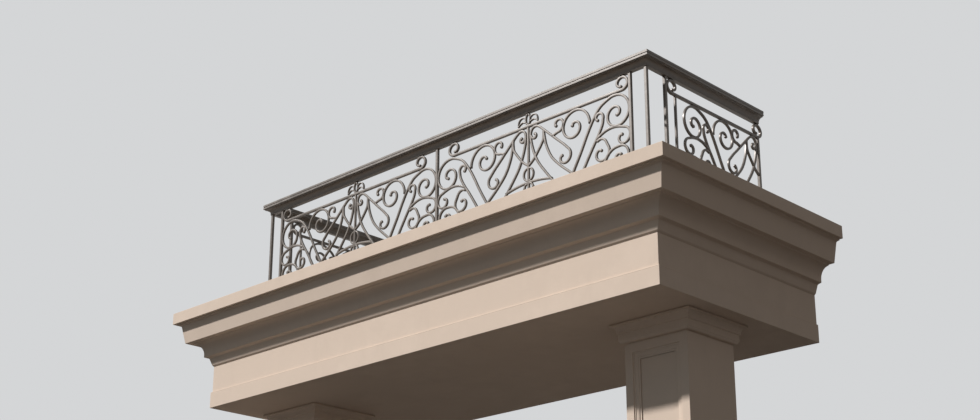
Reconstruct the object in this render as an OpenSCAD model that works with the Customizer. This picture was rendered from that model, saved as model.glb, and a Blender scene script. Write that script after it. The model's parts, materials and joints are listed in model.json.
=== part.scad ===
// Columned balcony for a house front: a moulded slab on two square panelled columns,
// with a scrolled iron railing on its front and on both returns.
// Millimetres, +Z up. The origin is on the ground, in the middle of the balcony's outline.

/* [Slab] */
// Width of the lower fascia, the widest flat face under the cornice
fascia_w = 5050; // [4200:10:6000]
// Distance from the wall to the face of the lower fascia
fascia_depth = 1960; // [1700:10:2600]
// Height of the soffit above the ground
soffit_h = 3300; // [2800:10:4000]
// Thickness of the stone courses behind the fascia face
course_bed = 150; // [120:5:180]
// Height of the lower fascia
fascia_h = 143; // [120:1:180]
// Height of the frieze over the lower fascia
frieze_h = 237; // [200:1:300]
// Setback of the frieze behind the lower fascia
frieze_setback = 12; // [6:1:20]
// Thickness of the soffit board
soffit_t = 25; // [15:1:40]
// Thickness of the deck slab
deck_t = 200; // [150:5:240]
// Width of the beams inside the courses
beam_w = 250; // [200:5:320]

/* [Cornice] */
// Height of the bed mould band over the frieze
bed_band_h = 75; // [60:1:90]
// Height of the splay that carries the bed mould band out from the frieze
bed_splay_h = 35; // [28:1:42]
// Reach of the bed mould band in front of the lower fascia
bed_band_reach = 20; // [15:1:30]
// Reach of the small fillet over the bed mould band
bed_fillet_reach = 64; // [56:1:72]
// Height of the small fillet with the splay under it
bed_fillet_h = 31; // [26:1:36]
// Height of the cove over the small fillet
cove_h = 102; // [90:1:120]
// Reach of the top of the cove
cove_reach = 130; // [120:1:140]
// Gap between the top of the cove and the corona's own underside
corona_drop = 7; // [5:1:10]
// Reach of the corona's upright face
corona_reach = 185; // [175:1:195]
// Height of the corona's upright face
corona_face_h = 85; // [70:1:100]
// Height of the corona, its upright face and the hollow over it together
corona_h = 178; // [160:1:195]
// Reach of the top of the corona
corona_top_reach = 240; // [230:1:250]
// Reach of the top band, the outermost face
band_reach = 268; // [260:1:290]
// Height of the top band
band_h = 103; // [90:1:130]

/* [Columns] */
// Width of a square column shaft
shaft_w = 560; // [480:5:640]
// Distance from each end of the lower fascia to the centre line of the column there
column_inset = 495; // [450:5:800]
// Distance from the wall to the centre line of the columns
column_from_wall = 1105; // [900:5:1200]
// Height of a capital
capital_h = 150; // [130:1:180]
// Reach of a capital or a base in front of the shaft
capital_reach = 80; // [70:1:100]
// Height of the plain plinth
plinth_h = 240; // [180:5:320]
// Height of the moulded base on the plinth
base_h = 110; // [90:1:140]
// Width of the plain margin round a shaft's panel
panel_margin = 70; // [55:1:90]
// Depth of the recess of a panel
panel_depth = 28; // [20:1:36]
// Width of the moulding round a panel
panel_mould_w = 52; // [40:1:64]

/* [Railing] */
// Distance from the lower fascia to the railing's middle plane, at the front and the right
rail_inset = 220; // [200:5:260]
// The same distance at the left, where the railing stands further in
rail_inset_left = 500; // [420:5:580]
// Gap between the wall and the back end of each return
rail_wall_gap = 330; // [280:5:400]
// Height of the handrail's top above the deck
rail_top_h = 987; // [940:1:1100]
// Width of the handrail
handrail_w = 105; // [90:1:120]
// Height of the handrail
handrail_h = 98; // [90:1:110]
// Height of the top bar's middle above the deck
top_bar_h = 778; // [740:1:800]
// Height of the bottom bar's middle above the deck
bottom_bar_h = 90; // [70:1:110]
// Thickness of the square posts
post_t = 24; // [20:1:30]
// Thickness of the top and bottom bars
bar_t = 22; // [18:1:26]
// Width of the scroll bars seen from the front
scroll_t = 19; // [16:1:22]
// Depth of the scroll bars from front to back
scroll_d = 18; // [14:1:20]
// Distance between each corner post and the panel post beside it, at the front
corner_gap = 148; // [120:1:180]
// The same distance on the returns
return_gap = 220; // [180:1:260]
// Distance from that post to the extra bar on the returns
return_bar_gap = 96; // [80:1:110]
// Length of the scrollwork on the returns, from the back post's middle
return_scroll_w = 960; // [900:5:990]
// Gap between the middle post and the curl of each top bar beside it
curl_setback = 120; // [80:5:160]
// Half the width of the crest over the middle of each bay
crest_half = 106; // [90:1:120]
// Width of the crest's bars seen from the front
crest_t = 13; // [10:1:16]

/* [Hidden] */
$fn = 48;

stone_colour = [0.86, 0.79, 0.71];
concrete_colour = [0.70, 0.68, 0.65];
iron_colour = [0.22, 0.20, 0.19];

// Heights of the courses, from the soffit up
frieze_z = fascia_h;
bed_z = frieze_z + frieze_h;
fillet_z = bed_z + bed_band_h;
cove_z = fillet_z + bed_fillet_h;
corona_z = cove_z + cove_h;
band_z = corona_z + corona_h + corona_drop;
slab_h = band_z + band_h;
deck_z = soffit_h + slab_h;

// Plan of the slab
half_w = fascia_w / 2;
overall_depth = fascia_depth + band_reach;
wall_y = overall_depth / 2;
fascia_y = wall_y - fascia_depth;
column_y = wall_y - column_from_wall;

// Plan of the railing's middle planes
rail_x_right = half_w - rail_inset;
rail_x_left = -half_w + rail_inset_left;
rail_y = fascia_y + rail_inset;
rail_end_y = wall_y - rail_wall_gap;

// Rises and drawn steps of the small mouldings
small_step = 8;
arris = 3;

// A stretch of arc as points, angles in degrees
function arc(c, rx, rz, a0, a1, n) =
    [for (i = [0 : n]) let (a = a0 + (a1 - a0) * i / n) [c[0] + rx * cos(a), c[1] + rz * sin(a)]];

// Sides of the slab: a plan trapezoid for each, mitred at the corners and square at the wall
module side_plan(side, reach, bed) {
    out = reach + 1;
    if (side == "front")
        polygon([[-half_w - out, fascia_y - out], [half_w + out, fascia_y - out],
                 [half_w - bed, fascia_y + bed], [-half_w + bed, fascia_y + bed]]);
    else
        mirror([side == "left" ? 1 : 0, 0])
            polygon([[half_w + out, fascia_y - out], [half_w + out, wall_y],
                     [half_w - bed, wall_y], [half_w - bed, fascia_y + bed]]);
}

// A course: its profile has the reach in front of the lower fascia as X and the height as Y
module course(side, profile, reach) {
    top = slab_h + 1;
    run = fascia_w + fascia_depth;
    intersection() {
        translate([0, 0, soffit_h - 1])
            linear_extrude(top + 1)
                side_plan(side, reach, course_bed);
        if (side == "front")
            translate([run / 2, fascia_y, soffit_h])
                rotate([90, 0, -90])
                    linear_extrude(run)
                        polygon(profile);
        else
            mirror([side == "left" ? 1 : 0, 0, 0])
                translate([half_w, wall_y, soffit_h])
                    rotate([90, 0, 0])
                        linear_extrude(run)
                            polygon(profile);
    }
}

fascia_profile = [[-course_bed, 0], [0, 0], [0, fascia_h], [-course_bed, fascia_h]];

frieze_profile = [[-course_bed, frieze_z], [-frieze_setback, frieze_z],
                  [-frieze_setback, bed_z], [-course_bed, bed_z]];

// Splay, bed mould band, fillet, cove, and the corona's upright face and hollow, from the frieze up
cornice_profile = concat(
    [[-course_bed, bed_z], [-frieze_setback, bed_z], [bed_band_reach, bed_z + bed_splay_h],
     [bed_band_reach, fillet_z],
     [bed_fillet_reach - small_step, fillet_z + small_step], [bed_fillet_reach, fillet_z + small_step],
     [bed_fillet_reach, cove_z]],
    arc([cove_reach, cove_z], cove_reach - bed_fillet_reach, cove_h, 180, 90, 8),
    [[cove_reach, corona_z + corona_drop], [corona_reach, corona_z + corona_drop]],
    arc([corona_top_reach, corona_z + corona_drop + corona_face_h],
        corona_top_reach - corona_reach, corona_h - corona_face_h - small_step, 180, 90, 8),
    [[corona_top_reach, band_z], [-course_bed, band_z]]);

band_profile = [[-course_bed, band_z], [band_reach - arris, band_z], [band_reach, band_z + arris],
                [band_reach, slab_h - arris], [band_reach - arris, slab_h], [-course_bed, slab_h]];

module fascia(side) { color(stone_colour) course(side, fascia_profile, 0); }
module frieze(side) { color(stone_colour) course(side, frieze_profile, 0); }
module cornice(side) { color(stone_colour) course(side, cornice_profile, corona_top_reach); }
module top_band(side) { color(stone_colour) course(side, band_profile, band_reach); }

// Beams behind the courses, under the deck slab
beam_z = soffit_h + soffit_t;
beam_h = slab_h - deck_t - soffit_t;
core_x = half_w - course_bed;
core_y = fascia_y + course_bed;

module beam_front() {
    color(concrete_colour)
        translate([-core_x, core_y, beam_z])
            cube([2 * core_x, beam_w, beam_h]);
}

module beam_wall() {
    color(concrete_colour)
        translate([-core_x, wall_y - beam_w, beam_z])
            cube([2 * core_x, beam_w, beam_h]);
}

module beam_side(side) {
    color(concrete_colour)
        mirror([side == "left" ? 1 : 0, 0, 0])
            translate([core_x - beam_w, core_y + beam_w, beam_z])
                cube([beam_w, wall_y - core_y - 2 * beam_w, beam_h]);
}

module soffit_board() {
    color(stone_colour)
        translate([-core_x, core_y, soffit_h])
            cube([2 * core_x, wall_y - core_y, soffit_t]);
}

module deck_slab() {
    color(concrete_colour)
        translate([-core_x, core_y, deck_z - deck_t])
            cube([2 * core_x, wall_y - core_y, deck_t]);
}

// Columns
shaft_z = plinth_h + base_h;
shaft_h = soffit_h - capital_h - shaft_z;
panel_w = shaft_w - 2 * panel_margin;
panel_h = shaft_h - 2 * panel_margin;

function side_sign(side) = side == "left" ? -1 : 1;

module at_column(side) {
    translate([side_sign(side) * (half_w - column_inset), column_y, 0])
        children();
}

// A square moulded block: the profile's X is the reach in front of the shaft
module square_mould(profile, height) {
    reach = max([for (p = profile) p[0]]);
    size = shaft_w + 2 * reach + 2;
    intersection() {
        mould_prism(profile, size, height);
        rotate([0, 0, 90])
            mould_prism(profile, size, height);
    }
}

// The profile mirrored about the column's axis and run straight through
module mould_prism(profile, size, height) {
    n = len(profile);
    translate([0, size / 2, 0])
        rotate([90, 0, 0])
            linear_extrude(size)
                polygon(concat(
                    [for (p = profile) [shaft_w / 2 + p[0], p[1]]],
                    [for (i = [n - 1 : -1 : 0]) [-shaft_w / 2 - profile[i][0], profile[i][1]]]));
}

// Capital from the bottom up: ovolo, band, small fillet, cyma and top fillet
capital_profile = concat(
    [[capital_reach * 0.1, 0], [capital_reach * 0.15, capital_h * 0.05]],
    arc([capital_reach * 0.15, capital_h * 0.17], capital_reach * 0.22, capital_h * 0.12, -90, 0, 5),
    [[capital_reach * 0.42, capital_h * 0.17], [capital_reach * 0.42, capital_h * 0.52],
     [capital_reach * 0.54, capital_h * 0.52], [capital_reach * 0.54, capital_h * 0.64]],
    arc([capital_reach * 0.96, capital_h * 0.64], capital_reach * 0.40, capital_h * 0.24, 180, 90, 6),
    [[capital_reach, capital_h * 0.88], [capital_reach, capital_h]]);

module capital(side) {
    color(stone_colour)
        at_column(side)
            translate([0, 0, soffit_h - capital_h])
                square_mould(capital_profile, capital_h);
}

// Base from the plinth up: torus band, fillet and cove
base_profile = concat(
    [[capital_reach * 0.8, 0]],
    arc([capital_reach * 0.8, base_h * 0.22], capital_reach * 0.2, base_h * 0.22, -90, 90, 8),
    [[capital_reach * 0.62, base_h * 0.44], [capital_reach * 0.62, base_h * 0.54]],
    arc([capital_reach * 0.62, base_h * 0.9], capital_reach * 0.5, base_h * 0.36, -90, -180, 6),
    [[capital_reach * 0.12, base_h]]);

module base(side) {
    color(stone_colour)
        at_column(side)
            translate([0, 0, plinth_h])
                square_mould(base_profile, base_h);
}

module plinth(side) {
    w = shaft_w + 2 * capital_reach;
    color(stone_colour)
        at_column(side)
            translate([-w / 2, -w / 2, 0])
                cube([w, w, plinth_h]);
}

// Shaft with a sunk panel in its front and back faces
module shaft(side) {
    color(stone_colour)
        at_column(side)
            difference() {
                translate([-shaft_w / 2, -shaft_w / 2, shaft_z])
                    cube([shaft_w, shaft_w, shaft_h]);
                for (face = [0, 1])
                    mirror([0, face, 0])
                        translate([-panel_w / 2, -shaft_w / 2 - 1, shaft_z + panel_margin])
                            cube([panel_w, panel_depth + 1, panel_h]);
            }
}

// Cross-section of the moulding in a panel: X inwards from the panel's edge, Y out of its bed
mould_profile = concat(
    [[0, 0], [0, panel_depth * 0.75], [panel_mould_w * 0.2, panel_depth * 0.75]],
    arc([panel_mould_w * 0.2, panel_depth * 0.25], panel_mould_w * 0.55, panel_depth * 0.35, 90, 0, 5),
    [[panel_mould_w, panel_depth * 0.25], [panel_mould_w, 0]]);

// One straight run of that moulding along X, mitred at both ends, with its outer edge on Y = 0
module mould_run(length) {
    intersection() {
        translate([-length / 2, 0, 0])
            rotate([90, 0, 90])
                linear_extrude(length)
                    polygon(mould_profile);
        linear_extrude(panel_depth)
            polygon([[-length / 2, 0], [length / 2, 0],
                     [length / 2 - panel_mould_w, panel_mould_w], [-length / 2 + panel_mould_w, panel_mould_w]]);
    }
}

// Four runs as a frame, lying in the XY plane
module mould_frame(w, h) {
    for (end = [0, 1])
        mirror([0, end, 0])
            translate([0, -h / 2, 0])
                mould_run(w);
    for (end = [0, 1])
        mirror([end, 0, 0])
            translate([-w / 2, 0, 0])
                rotate([0, 0, -90])
                    mould_run(h);
}

module panel_moulding(side) {
    color(stone_colour)
        at_column(side)
            for (face = [0, 1])
                mirror([0, face, 0])
                    translate([0, -shaft_w / 2 + panel_depth, shaft_z + shaft_h / 2])
                        rotate([90, 0, 0])
                            mould_frame(panel_w, panel_h);
}

// Handrail section: a narrow carrier, an ovolo that spreads over it, a groove and a square lip.
// X runs across the rail, Y up from its underside.
rail_half = handrail_w / 2;
handrail_profile_half = concat(
    [[rail_half * 0.36, 0]],
    arc([rail_half * 0.36, handrail_h * 0.75], rail_half * 0.58, handrail_h * 0.39, -90, 0, 6),
    [[rail_half * 0.87, handrail_h * 0.77], [rail_half * 0.87, handrail_h * 0.81],
     [rail_half, handrail_h * 0.83], [rail_half, handrail_h * 0.94], [rail_half * 0.95, handrail_h]]);
handrail_profile = concat(
    handrail_profile_half,
    [for (i = [len(handrail_profile_half) - 1 : -1 : 0]) [-handrail_profile_half[i][0], handrail_profile_half[i][1]]]);

handrail_z = deck_z + rail_top_h - handrail_h;

module handrail_plan(side) {
    far = rail_half + 1;
    if (side == "front")
        polygon([[rail_x_left - far, rail_y - far], [rail_x_right + far, rail_y - far],
                 [rail_x_right - far, rail_y + far], [rail_x_left + far, rail_y + far]]);
    else if (side == "right")
        polygon([[rail_x_right + far, rail_y - far], [rail_x_right + far, rail_end_y],
                 [rail_x_right - far, rail_end_y], [rail_x_right - far, rail_y + far]]);
    else
        polygon([[rail_x_left - far, rail_y - far], [rail_x_left + far, rail_y + far],
                 [rail_x_left + far, rail_end_y], [rail_x_left - far, rail_end_y]]);
}

module handrail(side) {
    run = fascia_w + fascia_depth;
    color(iron_colour)
        intersection() {
            translate([0, 0, handrail_z - 1])
                linear_extrude(handrail_h + 2)
                    handrail_plan(side);
            if (side == "front")
                translate([run / 2, rail_y, handrail_z])
                    rotate([90, 0, -90])
                        linear_extrude(run)
                            polygon(handrail_profile);
            else
                translate([side == "left" ? rail_x_left : rail_x_right, run / 2, handrail_z])
                    rotate([90, 0, 0])
                        linear_extrude(run)
                            polygon(handrail_profile);
        }
}

// Post places along the front, and on a return from the front corner back
front_posts = [rail_x_left + corner_gap, (rail_x_left + rail_x_right) / 2, rail_x_right - corner_gap];
return_run = rail_end_y - rail_y - post_t / 2;
post_h = handrail_z - deck_z;
bottom_bar_z = deck_z + bottom_bar_h;
top_bar_z = deck_z + top_bar_h;

module post(x, y, height) {
    translate([x - post_t / 2, y - post_t / 2, deck_z])
        cube([post_t, post_t, height]);
}

module posts_front() {
    color(iron_colour)
        for (x = concat([rail_x_left], front_posts, [rail_x_right]))
            post(x, rail_y, post_h);
}

module posts_return(side) {
    x = side == "left" ? rail_x_left : rail_x_right;
    color(iron_colour) {
        post(x, rail_y + return_gap, post_h);
        post(x, rail_y + return_run, top_bar_h - bar_t / 2);
    }
}

// Bottom bars between the posts
module bottom_bar_front() {
    places = concat([rail_x_left], front_posts, [rail_x_right]);
    color(iron_colour)
        for (i = [0 : len(places) - 2])
            translate([places[i] + post_t / 2, rail_y - bar_t / 2, bottom_bar_z - bar_t / 2])
                cube([places[i + 1] - places[i] - post_t, bar_t, bar_t]);
}

module bottom_bar_return(side) {
    x = side == "left" ? rail_x_left : rail_x_right;
    places = [0, return_gap, return_run];
    color(iron_colour)
        for (i = [0 : len(places) - 2])
            translate([x - bar_t / 2, rail_y + places[i] + post_t / 2, bottom_bar_z - bar_t / 2])
                cube([bar_t, places[i + 1] - places[i] - post_t, bar_t]);
}

// Scrollwork. A path is a list of points; a ribbon is the outline of a bar along it.
function unit(v) = v / norm(v);
function path_dir(p, i) = unit(p[min(i + 1, len(p) - 1)] - p[max(i - 1, 0)]);
function side_points(p, w) = [for (i = [0 : len(p) - 1]) let (d = path_dir(p, i)) p[i] + w / 2 * [-d[1], d[0]]];
function ribbon(p, w) = concat(side_points(p, w), [for (i = [len(p) - 1 : -1 : 0]) side_points(p, -w)[i]]);

// A spiral eye: the radius falls from r0 to r1 as the angle goes from a0 to a1, late where bend is over 1
function eye(c, r0, r1, a0, a1, bend = 1) =
    let (n = max(6, ceil(abs(a1 - a0) / 15)))
    [for (i = [0 : n]) let (t = i / n, a = a0 + (a1 - a0) * t, r = r0 + (r1 - r0) * pow(t, bend))
        c + r * [cos(a), sin(a)]];

// A smooth curve through hand-set points, three steps to a span
function blend_point(a, b, c, d, t) =
    0.5 * (2 * b + (c - a) * t + (2 * a - 5 * b + 4 * c - d) * t * t + (3 * b - a - 3 * c + d) * t * t * t);
function spans(p, count) = [for (i = [0 : count - 1], k = [0 : 2])
    blend_point(p[max(i - 1, 0)], p[i], p[i + 1], p[min(i + 2, len(p) - 1)], k / 3)];
function stem(p) = concat(spans(p, len(p) - 1), [p[len(p) - 1]]);
// A stem that runs on into an eye: the eye's first points steer the stem's last span
function scroll(foot, e) = concat(spans(concat(foot, [e[0], e[1]]), len(foot)), e);

// The half bay is drawn on a grid of this many columns and rows. X runs from the middle bar to
// the face of the end post, Y from the bottom bar to the top bar.
grid = [997, 688];
scrolls = [
    scroll([[352, 0], [450, 178], [527, 312], [590, 433], [650, 533], [722, 618]],
           eye([870, 520], 151, 18, 108, -420)),
    eye([464, 540], 156, 20, -8, 500),
    scroll([[452, 0], [520, 116], [585, 224], [645, 318], [700, 398], [738, 470]],
           eye([707, 535], 44, 22, -25, 235)),
    scroll([[686, 372], [728, 395], [776, 412], [833, 418], [890, 409]],
           eye([930, 322], 70, 18, 75, -240, 2)),
    scroll([[684, 350], [722, 361], [760, 342]],
           eye([725, 252], 74, 16, 36, -265, 2.4)),
    scroll([[716, 0], [742, 120], [776, 203], [830, 246]],
           eye([900, 171], 85, 16, 95, -290, 1.5)),
    scroll([[248, 532]], eye([305, 606], 58, 20, -92, 190, 2)),
    scroll([[372, 0], [318, 74], [262, 150], [183, 248], [103, 357], [60, 448], [33, 540], [25, 612], [42, 655],
            [80, 667], [122, 646], [208, 569], [303, 482], [356, 435]],
           eye([360, 334], 68, 20, 52, -205, 2.4)),
    scroll([[30, 600]], eye([64, 594], 27, 14, 205, 420))
];
tied_stems = [
    stem([[158, 612], [168, 545], [188, 465], [236, 365], [312, 280], [400, 203], [500, 120], [632, 0]]),
    stem([[160, 600], [154, 536], [130, 494], [99, 453], [67, 413], [41, 388], [5, 362]])
];
ring_centre = [0, 288];
ring_radii = [50, 53];
arch_half = 240;
arch_crown = 222;
arch_rise = 32;
bud = [[6, 214], [32, 206], [45, 180]];

// From the drawn grid to the real opening
function fit_path(p, half, z0, z1) =
    [for (q = p) [q[0] * half / grid[0], z0 + q[1] * (z1 - z0) / grid[1]]];

module bar_along(p, w) {
    polygon(ribbon(p, w));
}

// A forged bar with a snub end: a round wider than the bar takes the place of the ribbon's end
snub_r = scroll_t * 0.68;
module snub_bar(p) {
    last = len(p) - 1;
    end_dir = path_dir(p, last);
    heading = atan2(end_dir[1], end_dir[0]);
    polygon(concat(
        [for (q = side_points(p, scroll_t)) if (norm(q - p[last]) > snub_r) q],
        [for (a = [130 : -26 : -130]) p[last] + snub_r * [cos(heading + a), sin(heading + a)]],
        [for (i = [last : -1 : 0]) let (q = side_points(p, -scroll_t)[i]) if (norm(q - p[last]) > snub_r) q]));
}

module half_bay_outline(half, z0, z1) {
    for (p = scrolls)
        snub_bar(fit_path(p, half, z0, z1));
    for (p = tied_stems)
        bar_along(fit_path(p, half, z0, z1), scroll_t);
}

// The middle bar with its ring, the low arch that crosses it and the bud under the arch
module middle_outline(half, z0, z1) {
    ring_t = scroll_t * 0.8;
    ring = [for (out = [1, -1]) fit_path([for (i = [0 : 23])
        let (a = 15 * i) ring_centre + [(ring_radii[0] + out * ring_t / 2) * cos(a),
                                        (ring_radii[1] + out * ring_t / 2) * sin(a)]], half, z0, z1)];
    arch = [for (i = [-6 : 6]) [arch_half * i / 6, arch_crown - arch_rise * pow(i / 6, 2)]];
    translate([-scroll_t / 2, z0])
        square([scroll_t, z1 - z0]);
    difference() {
        polygon(ring[0]);
        polygon(ring[1]);
    }
    bar_along(fit_path(arch, half, z0, z1), scroll_t);
    for (side = [-1, 1])
        bar_along(fit_path([for (p = stem(bud)) [side * p[0], p[1]]], half, z0, z1), ring_t);
}

panel_z0 = bottom_bar_z + bar_t / 2;
panel_z1 = top_bar_z - bar_t / 2;
bay_half = (front_posts[1] - front_posts[0] - post_t) / 2;

// One whole bay, clipped to the opening between the posts and the bars
module front_scrolls(bay) {
    centre = (front_posts[bay] + front_posts[bay + 1]) / 2;
    color(iron_colour)
        translate([centre, rail_y + scroll_d / 2, 0])
            rotate([90, 0, 0])
                linear_extrude(scroll_d)
                    intersection() {
                        union() {
                            for (half = [0, 1])
                                mirror([half, 0])
                                    half_bay_outline(bay_half, bottom_bar_z, top_bar_z);
                            middle_outline(bay_half, bottom_bar_z, top_bar_z);
                        }
                        translate([-bay_half, panel_z0])
                            square([2 * bay_half, panel_z1 - panel_z0]);
                    }
}

// Half a bay on a return, with its middle at the back post and one more upright bar at its front
module return_scrolls(side) {
    x = side == "left" ? rail_x_left : rail_x_right;
    span = return_run - return_gap - post_t;
    color(iron_colour)
        translate([x - scroll_d / 2, rail_y + return_run - post_t / 2, 0])
            rotate([90, 0, 90])
                linear_extrude(scroll_d)
                    intersection() {
                        mirror([1, 0]) {
                            translate([-post_t / 2, 0])
                                half_bay_outline(return_scroll_w, bottom_bar_z, top_bar_z);
                            translate([span - return_bar_gap - scroll_t, panel_z0])
                                square([scroll_t, panel_z1 - panel_z0]);
                        }
                        translate([-span, panel_z0])
                            square([span, panel_z1 - panel_z0]);
                    }
}

// Top bars curl up at their ends until they touch the handrail
curl_r = (handrail_z - top_bar_z + bar_t / 2 - scroll_t) / 2;
curl_z = handrail_z - scroll_t / 2 - curl_r;
curl_reach = curl_r + scroll_t / 2;
curl_path = concat([[-curl_r, curl_z - curl_r]],
                   arc([0, curl_z], curl_r, curl_r, 270, 435, 11),
                   eye([0, curl_z], curl_r, curl_r * 0.55, 450, 590));

module curl_outline() {
    snub_bar(curl_path);
}

// The crest over the middle of each bay: a standing loop between two pairs of leaf hooks
crest_loop = crest_half * 0.27;
crest_leaf_top = [[0.20, 0.60], [0.50, 0.75], [0.78, 0.66], [0.93, 0.42], [0.94, 0.12]];
crest_leaf_low = [[0.22, 0.26], [0.52, 0.36], [0.76, 0.26], [0.92, 0.14]];

module crest_outline() {
    base_z = top_bar_z + bar_t / 2;
    room = handrail_z - base_z;
    loop_h = room + crest_t / 4;
    translate([0, handrail_z - loop_h / 2])
        difference() {
            scale([crest_loop / loop_h * 2, 1])
                circle(d = loop_h, $fn = 24);
            scale([(crest_loop - crest_t) / (loop_h - 2 * crest_t) * 2, 1])
                circle(d = loop_h - 2 * crest_t, $fn = 24);
        }
    for (end = [0, 1], leaf = [crest_leaf_top, crest_leaf_low])
        mirror([end, 0])
            bar_along([for (p = stem(leaf)) [p[0] * crest_half, base_z + p[1] * room]], crest_t);
}

// Each front top bar is set back from the middle post, and touches the post at its other end
module top_bar_front(bay) {
    centre = (front_posts[bay] + front_posts[bay + 1]) / 2;
    outer = bay_half - curl_reach;
    inner = outer - curl_setback;
    color(iron_colour)
        translate([centre, rail_y + bar_t / 2, 0])
            rotate([90, 0, 0])
                linear_extrude(bar_t)
                    mirror([1 - bay, 0]) {
                        translate([-inner, top_bar_z - bar_t / 2])
                            square([inner + outer, bar_t]);
                        translate([outer, 0])
                            curl_outline();
                        translate([-inner, 0])
                            mirror([1, 0])
                                curl_outline();
                        crest_outline();
                    }
}

module top_bar_return(side) {
    x = side == "left" ? rail_x_left : rail_x_right;
    front_end = return_gap + post_t / 2 + curl_reach;
    back_end = return_run;
    color(iron_colour)
        translate([x - bar_t / 2, rail_y, 0])
            rotate([90, 0, 90])
                linear_extrude(bar_t) {
                    translate([front_end, top_bar_z - bar_t / 2])
                        square([back_end - front_end, bar_t]);
                    translate([front_end, 0])
                        mirror([1, 0])
                            curl_outline();
                    translate([back_end, 0])
                        curl_outline();
                }
}

plinth("left");  // plinth_left
plinth("right");  // plinth_right
base("left");  // base_left
base("right");  // base_right
shaft("left");  // shaft_left
shaft("right");  // shaft_right
panel_moulding("left");  // panel_moulding_left
panel_moulding("right");  // panel_moulding_right
capital("left");  // capital_left
capital("right");  // capital_right
fascia("front");  // fascia_front
fascia("left");  // fascia_left
fascia("right");  // fascia_right
frieze("front");  // frieze_front
frieze("left");  // frieze_left
frieze("right");  // frieze_right
cornice("front");  // cornice_front
cornice("left");  // cornice_left
cornice("right");  // cornice_right
top_band("front");  // top_band_front
top_band("left");  // top_band_left
top_band("right");  // top_band_right
beam_front();
beam_side("left");  // beam_left
beam_side("right");  // beam_right
beam_wall();
soffit_board();
deck_slab();
bottom_bar_front();
bottom_bar_return("left");  // bottom_bar_left
bottom_bar_return("right");  // bottom_bar_right
posts_front();
posts_return("left");  // posts_left
posts_return("right");  // posts_right
top_bar_front(0);  // top_bar_front_left
top_bar_front(1);  // top_bar_front_right
top_bar_return("left");  // top_bar_left
top_bar_return("right");  // top_bar_right
front_scrolls(0);  // scrolls_front_left
front_scrolls(1);  // scrolls_front_right
return_scrolls("left");  // scrolls_left
return_scrolls("right");  // scrolls_right
handrail("front");  // handrail_front
handrail("left");  // handrail_left
handrail("right");  // handrail_right
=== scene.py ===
import json
import math

import bmesh
import bpy
from bpy.props import FloatProperty, FloatVectorProperty, PointerProperty
from bpy.types import Operator, Panel, PropertyGroup
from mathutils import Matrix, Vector


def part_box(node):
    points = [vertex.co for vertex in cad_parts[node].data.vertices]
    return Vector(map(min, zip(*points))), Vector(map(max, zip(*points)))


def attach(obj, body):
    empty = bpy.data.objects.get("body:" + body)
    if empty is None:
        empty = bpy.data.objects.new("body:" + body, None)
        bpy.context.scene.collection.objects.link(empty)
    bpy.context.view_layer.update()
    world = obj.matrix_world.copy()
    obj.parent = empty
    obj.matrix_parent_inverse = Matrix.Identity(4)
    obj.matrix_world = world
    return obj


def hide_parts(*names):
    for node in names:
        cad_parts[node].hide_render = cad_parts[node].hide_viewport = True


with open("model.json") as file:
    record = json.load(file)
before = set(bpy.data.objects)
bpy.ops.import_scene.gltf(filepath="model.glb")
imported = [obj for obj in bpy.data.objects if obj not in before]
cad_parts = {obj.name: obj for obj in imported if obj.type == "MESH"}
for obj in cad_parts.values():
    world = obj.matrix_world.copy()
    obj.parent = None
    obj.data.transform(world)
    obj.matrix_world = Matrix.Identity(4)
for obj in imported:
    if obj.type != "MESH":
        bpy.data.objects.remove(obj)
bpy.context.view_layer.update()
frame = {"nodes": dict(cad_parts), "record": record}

bl_info = {
    "name": "Columned balcony",
    "version": (1, 0, 0),
    "blender": (4, 5, 0),
    "location": "3D View > Sidebar > Balcony",
    "description": "Stuccoed balcony slab on two columns, with a forged scroll railing",
    "category": "Object",
}

BODY = "root"
ENDS = ("left", "right")
SIDES = ("front", *ENDS)
slot_colour = {m["slot"]: tuple(m["base_color"]) for m in frame["record"]["materials"]}
slot_nodes = {slot: [part["node"] for part in frame["record"]["subparts"]
                     if part["material_slot"] == slot] for slot in slot_colour}


# Sizes and colours that a user would change

def length(name, description, default):
    return FloatProperty(name=name, description=description, default=default, min=0.0,
                         subtype="DISTANCE", unit="LENGTH")


def share(name, description, default):
    return FloatProperty(name=name, description=description, default=default, min=0.0, max=1.0,
                         subtype="FACTOR")


def colour(name, description, default):
    return FloatVectorProperty(name=name, description=description, default=default, min=0.0, max=1.0,
                               size=3, subtype="COLOR")


class BALCONY_PG_ironwork(PropertyGroup):
    scroll_width: length("Scroll bar width", "Width of the scroll bars in the panel's plane", 0.019)
    edge_round: length("Bar edge", "Rounding of the long edges of the forged bars", 0.0035)
    snub: FloatProperty(name="Snub end", description="Snub end's radius as a share of the bar's width",
                        default=0.68, min=0.5, max=1.0)
    return_pattern: length("Return pattern", "Length that half a bay has on a return", 0.960)
    crest_reach: length("Crest reach", "Half the width of the crest over a bay", 0.106)
    crest_bar: length("Crest bar", "Width of the crest's bars", 0.013)
    rail_half: length("Handrail half width", "Half the width of the handrail's cap", 0.066)
    rail_cap: length("Handrail cap", "Height of the cap's upright face", 0.044)
    rail_groove: length("Handrail groove", "Depth of the groove along the cap", 0.004)
    rail_bead: length("Handrail bead", "Height of the upright face under the cove", 0.014)
    rail_foot: length("Handrail foot", "Half the width of the flat underside", 0.017)
    foot_plate: length("Foot plate", "Side of the square plate under a post", 0.078)
    foot_thickness: length("Foot thickness", "Thickness of the foot plate", 0.006)
    bolt_head: length("Bolt head", "Radius of the domed bolt heads on the foot plates", 0.0075)


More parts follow.
